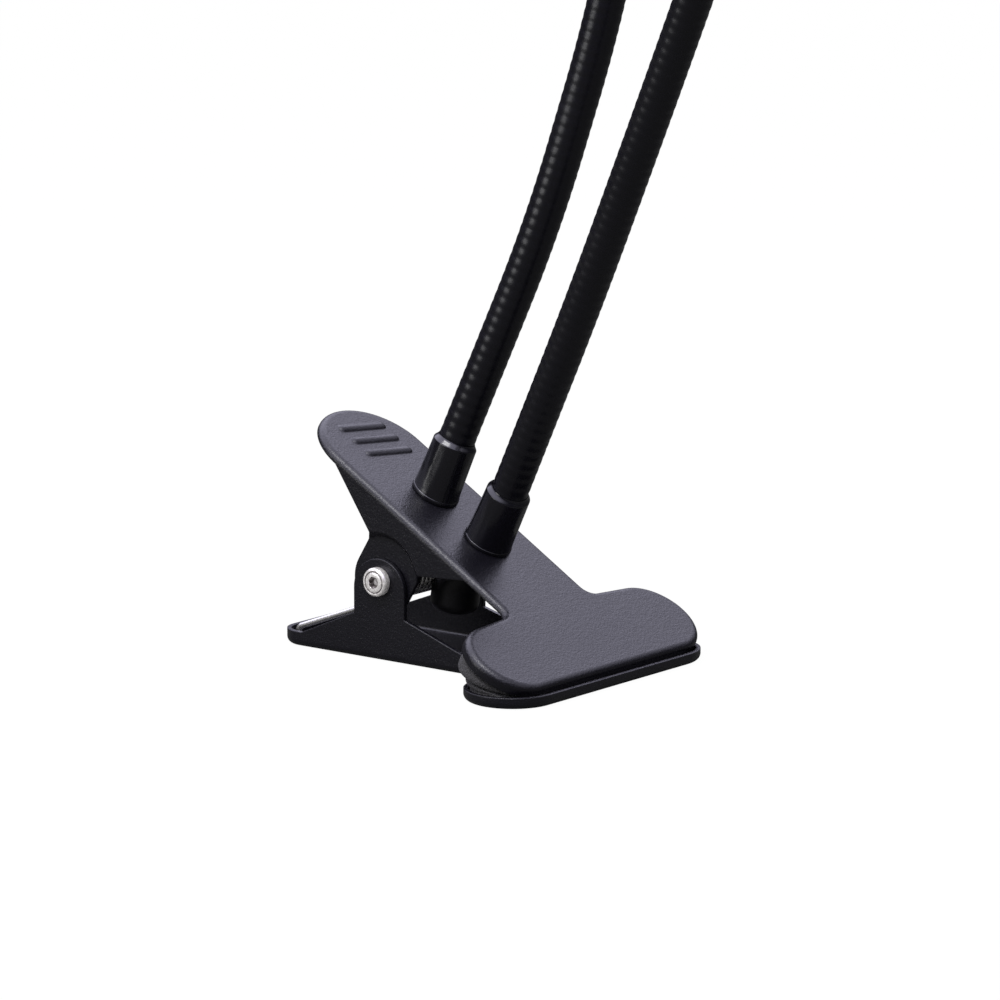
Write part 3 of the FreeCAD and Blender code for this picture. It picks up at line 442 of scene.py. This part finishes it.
def gridPiece(name, points, material, loops=False, capped=False, sharp=40.0):
    # a grid of points, rows along a path and columns round it, becomes one closed mesh;
    # loops joins the last row to the first, capped closes both ends with a flat face
    rows, columns = points.shape[:2]
    index = np.arange(rows * columns).reshape(rows, columns)
    here = index if loops else index[:-1]
    after = np.roll(index, -1, axis=0) if loops else index[1:]
    quads = np.stack((here, np.roll(here, -1, axis=1), np.roll(after, -1, axis=1), after), axis=-1)
    quads = quads.reshape(-1, 4)
    flat = points.reshape(-1, 3)
    a, b, c, d = (flat[quads[:, i]] for i in range(4))
    middle = flat.mean(axis=0)
    areas = np.cross(b - middle, c - middle) + np.cross(c - middle, d - middle)
    volume = np.einsum("ij,ij->", a - middle, areas)   # negative when the faces point inwards
    faces = quads.tolist()
    if capped:
        faces += [index[0, ::-1].tolist(), index[-1].tolist()]
    if volume < 0:
        faces = [face[::-1] for face in faces]
    mesh = bpy.data.meshes.new(name)
    mesh.from_pydata(flat.tolist(), [], faces)
    mesh.polygons.foreach_set("use_smooth", np.ones(len(faces), dtype=bool))
    mesh.set_sharp_from_angle(angle=math.radians(sharp))
    mesh.materials.append(finishes[material])
    mesh.validate()
    thing = bpy.data.objects.new(name, mesh)
    scene.collection.objects.link(thing)
    return thing


def turnedAbout(vectors, axis, angles):
    # each vector turned about one axis by its own angle
    axis = np.asarray(axis)
    cosine, sine = np.cos(angles)[:, None], np.sin(angles)[:, None]
    along = (vectors @ axis)[:, None] * axis
    return vectors * cosine + np.cross(axis, vectors) * sine + along * (1 - cosine)


def unit(vector):
    vector = np.asarray(vector, dtype=float)
    return vector / np.linalg.norm(vector, axis=-1, keepdims=True)


pin = np.array((0.0, 0.0, clip["pinHeight"]))
tiltAngle = math.radians(clip["tilt"])
alongPlate = np.array((math.cos(tiltAngle), 0.0, -math.sin(tiltAngle)))
plateNormal = np.array((math.sin(tiltAngle), 0.0, math.cos(tiltAngle)))
across = np.array((0.0, 1.0, 0.0))


def onPlate(x, y, height):
    # a place in the upper jaw's own directions, from the pin
    x, y, height = (np.asarray(value, dtype=float)[..., None] for value in (x, y, height))
    return pin + x * alongPlate + y * across + height * plateNormal


arms = {
    # place on the plate, lean along and across, degrees of the first bows, compass of the aim and its angle from up
    "left": {
        "base": (-0.0085, 0.0030), "lean": (0.418, 0.09),
        "bends": (6.5, 8.0), "aim": (26.0, 108.0), "pitch": 0.00282,
    },
    "right": {
        "base": (0.0134, 0.0015), "lean": (0.535, -0.11),
        "bends": (1.5, 0.5), "aim": (-24.0, 106.0), "pitch": 0.00290,
    },
}
stretch = {
    "lengths": (0.048, 0.058, 0.066, 0.062, 0.062),
    "straight": 0.007,        # on each side of a link
    "lastStraight": 0.015,
    "footLift": 0.0012,
    "firstBow": 1,            # stretches from here bow back, from crown on they bend to the aim
    "crown": 3,
}
sleeve = {
    "radius": 0.00487,
    "ribDepth": 0.00010,
    "groovePower": 0.8,
    "samples": 8,             # per rib
    "around": 40,
    "ends": (0.0006, 0.0004),       # clear of the stud's flange and of the head
    "plateClear": 0.0013,
    "bendReach": 0.018,       # how far on each side of a link
}


class Course:
    # the centre line of one arm, straight runs and arcs, along the same route as in the CAD model
    def __init__(self, side):
        arm = arms[side]
        self.spans = []
        self.links = [0.0]
        self.length = 0.0
        self.point = onPlate(*arm["base"], clip["pinToTop"] + stretch["footLift"])
        self.direction = unit((*arm["lean"], 1.0))
        self.normal = unit(across - (across @ self.direction) * self.direction)
        compass, fromUp = (math.radians(angle) for angle in arm["aim"])
        flat = math.sin(fromUp)
        aim = np.array((flat * math.cos(compass), flat * math.sin(compass), math.cos(fromUp)))
        last = len(stretch["lengths"]) - 1
        for i, length in enumerate(stretch["lengths"]):
            final = stretch["lastStraight"] if i == last else stretch["straight"]
            middle = length - stretch["straight"] - final
            self.span(stretch["straight"])
            if i < stretch["firstBow"]:
                self.span(middle)
            elif i < stretch["crown"]:
                self.span(middle, np.array((-1.0, 0.0, 0.0)), math.radians(arm["bends"][i - 1]))
            else:
                if i == stretch["crown"]:
                    crown = math.acos(self.direction @ aim)
                self.span(middle, aim, crown / 2)
            self.span(final)
            self.links.append(self.length)

    def span(self, length, towards=None, angle=0.0):
        # one straight run, or an arc towards a direction
        axis = unit(np.cross(self.direction, towards)) if angle else None
        self.spans.append((self.length, length, self.point, self.direction, self.normal, axis, angle))
        if angle:
            radius = length / angle
            centre = self.point + radius * np.cross(axis, self.direction)
            turn = np.array((angle,))
            self.point = centre + turnedAbout((self.point - centre)[None], axis, turn)[0]
            self.direction = turnedAbout(self.direction[None], axis, turn)[0]
            self.normal = turnedAbout(self.normal[None], axis, turn)[0]
        else:
            self.point = self.point + length * self.direction
        self.length += length

    def frames(self, distances):
        # place, direction and first normal at each distance; past both ends it runs on straight
        places, ways, normals = (np.zeros((len(distances), 3)) for i in range(3))
        for i, (start, length, point, direction, normal, axis, angle) in enumerate(self.spans):
            low = -1.0 if i == 0 else start
            high = 9.0 if i == len(self.spans) - 1 else start + length
            chosen = (distances >= low) & (distances < high)
            run = distances[chosen] - start
            if angle:
                radius = length / angle
                centre = point + radius * np.cross(axis, direction)
                turns = run / radius
                copies = np.ones((len(run), 1))
                places[chosen] = centre + turnedAbout(copies * (point - centre), axis, turns)
                ways[chosen] = turnedAbout(copies * direction, axis, turns)
                normals[chosen] = turnedAbout(copies * normal, axis, turns)
            else:
                places[chosen] = point + run[:, None] * direction
                ways[chosen] = direction
                normals[chosen] = normal
        return places, ways, normals


def tubeAlong(places, ways, normals, radii, around):
    # P(s, u) = p(s) + r(s) (cos u n(s) + sin u b(s)), b square to the path and to n
    angles = np.linspace(0.0, 2 * math.pi, around, endpoint=False)
    binormals = np.cross(ways, normals)
    cosines, sines = np.cos(angles)[None, :, None], np.sin(angles)[None, :, None]
    ring = cosines * normals[:, None] + sines * binormals[:, None]
    return places[:, None] + np.asarray(radii).reshape(len(places), -1, 1) * ring


def makeSleeves(side, course):
    # ribbed tube: r(s) = R - depth (1 - w^0.8), w = (1 - cos(2 pi s / pitch)) / 2, the power makes the
    # ridges a little broader than the grooves; four pieces, each runs across one link
    pitch = arms[side]["pitch"]
    middles = [(course.links[i] + course.links[i + 1]) / 2 for i in (1, 2, 3)]
    middles = [round(middle / pitch) * pitch for middle in middles]
    cuts = [sleeve["ends"][0], *middles, course.length - sleeve["ends"][1]]
    for i in range(4):
        count = round((cuts[i + 1] - cuts[i]) / pitch * sleeve["samples"]) + 1
        distances = np.linspace(cuts[i], cuts[i + 1], count)
        wave = (0.5 - 0.5 * np.cos(2 * math.pi * distances / pitch)) ** sleeve["groovePower"]
        radii = sleeve["radius"] - sleeve["ribDepth"] * (1.0 - wave)
        points = tubeAlong(*course.frames(distances), radii, sleeve["around"])
        if i == 0:
            points = liftedFromPlate(points, course)
        piece = gridPiece(f"{side}RibbedSleeve{i + 1}", points, "sleeveVinyl", capped=True)
        linkPlace, linkWay, _ = (array[0] for array in course.frames(np.array((course.links[i + 1],))))
        start = linkPlace - sleeve["bendReach"] * linkWay
        end = linkPlace + sleeve["bendReach"] * linkWay
        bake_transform(piece)
        replaced = (1, 2) if i == 0 else (i + 2,)
        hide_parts(*[f"{side}_sleeve_{number}" for number in replaced])


def liftedFromPlate(points, course):
    # the lowest rows slant to the stud's flange, so that nothing passes through the plate
    clearance = clip["pinToTop"] + sleeve["plateClear"]
    height = (points - pin) @ plateNormal - clearance
    lift = np.maximum(-height, 0.0) / (course.spans[0][3] @ plateNormal)
    return points + lift[..., None] * course.spans[0][3]


boots = {
    # shift: how far the foot stands off the arm's line, along and across the plate
    "left": {"height": 0.0158, "foot": 0.00636, "radius": 0.00592, "shift": (0.0005, -0.0007)},
    "right": {"height": 0.0176, "foot": 0.00640, "radius": 0.00592, "shift": (-0.0006, 0.0)},
    "top": {"height": 0.0145, "foot": 0.00548, "radius": 0.00540, "beforeEnd": 0.0147},
    "lift": 0.00006,          # above the plate
    "taperPower": 0.6,
    "lip": 0.00016,
    "lipHeight": 0.0011,
    "cornerDepth": 0.0017,    # the wall ends this far below the top
    # down from the top, and in from the wall: a short round corner, a slope, a hollow
    "shoulder": (
        (0.00155, 0.0), (0.00140, 0.00003), (0.00128, 0.00010), (0.00110, 0.00023), (0.00085, 0.00043),
        (0.00060, 0.00062), (0.00040, 0.00076), (0.00020, 0.00087), (0.0, 0.00093),
    ),
    "crease": 0.00005,
    "waves": ((7, 0.6, 1.0), (12, 2.1, 0.7), (19, 4.0, 0.5)),   # creases round it, turn, depth
    "inside": 0.00492,
    "clear": 0.0001,
    "around": 72,
}


def bootProfile(height, foot, top):
    # distance from the foot and radius, all round the wall: rounded lip, long taper, sloped shoulder, bore
    rise = np.linspace(0.0, 1.0, 30)
    taper = foot + (top - foot) * rise ** boots["taperPower"]
    wall = height - boots["lipHeight"] - boots["cornerDepth"]
    outside = np.stack((boots["lipHeight"] + rise * wall, taper), axis=-1)
    turn = np.linspace(0.0, math.pi, 9)
    half = boots["lipHeight"] / 2
    lipLevels = half - (half - boots["clear"] / 2) * np.cos(turn)
    lip = np.stack((lipLevels, foot + boots["lip"] * np.sin(turn)), axis=-1)
    slope = np.array(boots["shoulder"])
    shoulder = np.stack((height - slope[:, 0], top - slope[:, 1]), axis=-1)
    levels = np.array((height - boots["clear"], height / 2, boots["clear"]))
    bore = np.stack((levels, np.full(3, boots["inside"])), axis=-1)
    return np.concatenate((lip, outside, shoulder, bore))


def makeBoot(name, sizes, place, way, normal, cutNormal, body, node):
    # P(v, u) = p + s d + r(v) (cos u n + sin u b): the foot is slanted to lie on the plate, and the
    # slant fades out up the boot; creases are waves round it, deepest at mid-height, fading at both ends
    height = sizes["height"]
    profile = bootProfile(height, sizes["foot"], sizes["radius"])
    angles = np.linspace(0.0, 2 * math.pi, boots["around"], endpoint=False)
    binormal = np.cross(way, normal)
    ring = np.cos(angles)[:, None] * normal + np.sin(angles)[:, None] * binormal
    share = profile[:, :1] / height
    creases = sum(depth * np.cos(count * angles + turn) for count, turn, depth in boots["waves"])
    outer = profile[:, 1:] > boots["inside"] + boots["clear"]
    radii = profile[:, 1:] + boots["crease"] * creases * np.sin(math.pi * np.clip(share, 0, 1)) * outer
    slant = -profile[:, 1:] * (ring @ cutNormal) / (way @ cutNormal)
    distances = profile[:, :1] + slant * (1 - share) ** 2
    points = place + distances[..., None] * way + radii[..., None] * ring[None]
    piece = gridPiece(name, points, "bootShrink", loops=True, sharp=60.0)
    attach(piece, body)
    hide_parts(node)


def makeArms():
    for side in arms:
        course = Course(side)
        makeSleeves(side, course)
        sizes, topSizes = boots[side], boots["top"]
        ends = np.array((0.0, course.length - topSizes["beforeEnd"]))
        places, ways, normals = course.frames(ends)
        lower = clip["pinToTop"] + boots["lift"]
        foot = places[0] + ways[0] * (lower - (places[0] - pin) @ plateNormal) / (ways[0] @ plateNormal)
        head = foot + sizes["height"] * ways[0]
        foot = foot + sizes["shift"][0] * alongPlate + sizes["shift"][1] * across
        way = unit(head - foot)
        normal = unit(across - (across @ way) * way)
        makeBoot(f"{side}ShrunkBoot", sizes, foot, way, normal, plateNormal, "upper_jaw", f"{side}_boot")
        top = (places[1], ways[1], normals[1], ways[1])
        makeBoot(f"{side}TopBoot", topSizes, *top, f"{side}_head", f"{side}_top_boot")


pads = {
    "around": 220,
    "rows": 25,
    "sideGap": 0.0015,        # from the outside of the jaw's rim
    "bulge": 0.0013,          # how far free foam swells out past the rim
    "rimDepth": 0.0022,       # foam held by the rim
    "fullSwell": 0.003,       # free foam this thick swells fully
    "edge": 0.0006,
    "inwards": (0.0012, 0.0014),    # of the flat faces' edges, glued face and gripping face
    "depth": 0.025,
    "sweep": 4.5,             # degrees, the back edge of the jaw against its front edge
    "lower": {"front": 0.0668, "near": 0.0428, "far": 0.0412, "setback": 0.0017},
    "upper": {"front": 0.0640, "near": 0.0428, "far": 0.0428, "setback": 0.0},
    "rimDrop": 0.0033,        # of the upper jaw, below its top
    "partingHeight": 0.00165,
    "faceGap": 0.0003,
    "clear": 0.00005,
}


def makePad(name, sizes, origin, along, up, level, gap, body, node):
    # stadium outline, two half circles joined by straight lines; foam that the rim holds is straight,
    # free foam swells: out(t) = bulge (1 - exp(-4 f)) sqrt(sin(pi f)), f the share of the free thickness
    inset = pads["sideGap"]
    front = sizes["front"] - inset - sizes["setback"]
    swept = math.tan(math.radians(pads["sweep"])) * pads["depth"] / 2
    back = sizes["front"] - pads["depth"] + inset + swept
    radius = (front - back) / 2
    centreX = (front + back) / 2
    angles = np.linspace(0.0, 2 * math.pi, pads["around"], endpoint=False)
    side = np.sign(np.sin(angles))
    reach = np.where(side > 0, sizes["far"], sizes["near"]) - inset - radius
    ways = np.stack((np.cos(angles), np.sin(angles)), axis=-1)
    slope = tiltAngle / 2
    parting = np.array((math.sin(slope), 0.0, math.cos(slope)))
    rimEdge = onPlate(pads["upper"]["front"], 0.0, clip["pinToTop"] - pads["rimDrop"])
    partingPlace = np.array((rimEdge[0], 0.0, pads["partingHeight"]))
    way = up if body == "lower_jaw" else -up
    low = origin + level * up

    def depthAt(flat):
        # place on the glued face, and the foam's thickness there up to the parting plane
        base = low + (centreX + flat[:, :1]) * along + (reach * side + flat[:, 1])[:, None] * across
        thickness = ((partingPlace + gap * parting - base) @ parting) / (way @ parting)
        return base, np.maximum(thickness, 0.0003)[:, None]

    depth = depthAt(ways * radius)[1]
    free = np.maximum(depth - pads["rimDepth"], 0.0)
    swell = pads["bulge"] * np.minimum(free / pads["fullSwell"], 1.0)
    rows = [depthAt(ways * (radius - pads["inwards"][0]))[0]]
    for share in 0.5 - 0.5 * np.cos(np.linspace(0.0, math.pi, pads["rows"])):
        part = np.clip((share * depth - pads["rimDepth"]) / np.maximum(free, 0.0001), 0.0, 1.0)
        out = swell * (1 - np.exp(-4 * part)) * np.sqrt(np.sin(math.pi * np.minimum(part, 0.985)))
        out = out - pads["edge"] * np.clip(share * 20 - 19, 0.0, 1.0) ** 2
        base, height = depthAt(ways * (radius + out))
        rows.append(base + share * height * way)
    base, height = depthAt(ways * (radius - pads["inwards"][1]))
    rows.append(base + height * way)
    piece = gridPiece(name, np.array(rows), "padFoam", capped=True, sharp=75.0)
    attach(piece, body)
    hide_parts(node)


def makePads():
    upright = np.array((0.0, 0.0, 1.0))
    ahead = np.array((1.0, 0.0, 0.0))
    floor = clip["sheet"] + pads["clear"]
    roof = clip["pinToTop"] - clip["sheet"] - pads["clear"]
    lowerPlace = (np.zeros(3), ahead, upright, floor, 0.0)
    upperPlace = (pin, alongPlate, plateNormal, roof, pads["faceGap"])
    makePad("lowerFoamPad", pads["lower"], *lowerPlace, "lower_jaw", "lower_pad")
    makePad("upperFoamPad", pads["upper"], *upperPlace, "upper_jaw", "upper_pad")


spring = {
    "wire": 0.0008,
    "radius": 0.00495,
    "length": 0.0242,
    "turns": 14,              # whole turns before the part turn that the legs need
    "lowerEnd": (-0.0300, -0.0166),   # along the clip and up, from the pin
    "upperReach": 0.024,
    "hook": 0.0018,
    "hookTurn": 1.2,
    "clear": 0.00015,         # below the upper jaw's plate
    "blendReach": 0.0112,
    "around": 18,
}


def makeSpring():
    # helix about the pin, x = R cos a, z = -R sin a, y falling evenly from + to -, with a straight
    # tangent leg at each end
    radius = spring["radius"]
    under = clip["pinToTop"] - clip["sheet"] - spring["wire"] - spring["clear"]
    plate = -spring["upperReach"] * alongPlate + under * plateNormal
    upper = np.array((plate[0], -plate[2]))
    lower = np.array((spring["lowerEnd"][0], -spring["lowerEnd"][1]))
    startAngle = math.atan2(upper[1], upper[0]) + math.acos(radius / np.linalg.norm(upper))
    endAngle = math.atan2(lower[1], lower[0]) - math.acos(radius / np.linalg.norm(lower))
    total = (endAngle - startAngle) % (2 * math.pi) + 2 * math.pi * spring["turns"]
    share = np.linspace(0.0, 1.0, 40 * (spring["turns"] + 1))
    angles = startAngle + total * share
    half = spring["length"] / 2
    coil = np.stack((radius * np.cos(angles), half - 2 * half * share, -radius * np.sin(angles)), axis=-1)
    upperLeg = np.linspace((upper[0], half, -upper[1]), coil[0], 14)[:-1]
    lowerLeg = np.linspace(coil[-1], (lower[0], -half, -lower[1]), 18)[1:]
    way = unit(lowerLeg[-1] - lowerLeg[-2])
    down = unit(np.cross(across, way)) * (-1.0 if np.cross(across, way)[2] > 0 else 1.0)
    turn = np.linspace(0.0, spring["hookTurn"], 8)[1:, None]
    hook = lowerLeg[-1] + spring["hook"] * (np.sin(turn) * way + (1 - np.cos(turn)) * down)
    path = pin + np.concatenate((upperLeg, coil, lowerLeg, hook))
    ways = unit(np.gradient(path, axis=0))
    normals = unit(across - (ways @ across)[:, None] * ways)
    radii = np.full(len(path), spring["wire"])
    radii[[0, -1]] *= 0.8
    points = tubeAlong(path, ways, normals, radii, spring["around"])
    piece = gridPiece("windingSpring", points, "springWire", capped=True)
    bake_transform(piece)
    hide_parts("torsion_spring")


screw = {
    # depth from the crown and radius, along the turned outline: crown, groove, rim, side, underside
    "outline": (
        (0.0, 0.00185), (0.00002, 0.0024), (0.00012, 0.00262), (0.00034, 0.00268), (0.00036, 0.00292),
        (0.00012, 0.00300), (0.00008, 0.00318), (0.00016, 0.00342), (0.00036, 0.00362), (0.00062, 0.00374),
        (0.00085, 0.00380), (0.00200, 0.00380), (0.00222, 0.00374), (0.00228, 0.00366), (0.00229, 0.0020),
    ),
    # depth, share of the lobes' radius and margin round them, from the middle of the recess outwards
    "socket": (
        (0.0013, 0.05, 0.0), (0.0013, 0.88, 0.0), (0.0011, 0.97, 0.0),
        (0.00008, 1.0, 0.0), (0.00001, 1.0, 0.00008),
    ),
    "recess": 0.00132,        # mean radius of the six-lobe recess
    "lobe": 0.19,
    "lobeTurn": 0.4,
    "shank": 0.00198,
    "shankStart": 0.0024,
    "point": (0.0004, 0.0016),      # length and radius of the chamfered end
    "around": 120,
}


def makeScrew():
    # turned outline about the pin; inside the crown it becomes the recess, r(u) = R (1 + k cos 6u)
    low, high = (np.array(corner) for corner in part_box("pivot_screw"))
    angles = np.linspace(0.0, 2 * math.pi, screw["around"], endpoint=False)
    lobes = screw["recess"] * (1 + screw["lobe"] * np.cos(6 * angles + screw["lobeTurn"]))
    length = high[1] - low[1]
    chamfer, tip = screw["point"]
    shank = ((screw["shankStart"], screw["shank"]), (length - chamfer, screw["shank"]), (length, tip))
    rows = [(depth, share * lobes + margin) for depth, share, margin in screw["socket"]]
    rows += [(depth, 0.0 * lobes + radius) for depth, radius in screw["outline"] + shank]
    depths = np.array([depth for depth, radius in rows])[:, None]
    radii = np.array([radius for depth, radius in rows])
    places = (radii * np.cos(angles), low[1] + depths + 0.0 * radii, clip["pinHeight"] + radii * np.sin(angles))
    points = np.stack(places, axis=-1)
    piece = gridPiece("turnedScrew", points, "screwTurned", capped=True, sharp=35.0)
    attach(piece, "lower_jaw")
    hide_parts("pivot_screw")


makeArms()
print("arms and boots made")
makePads()
print("foam pads made")
makeSpring()
print("spring made")
makeScrew()
print("screw made")
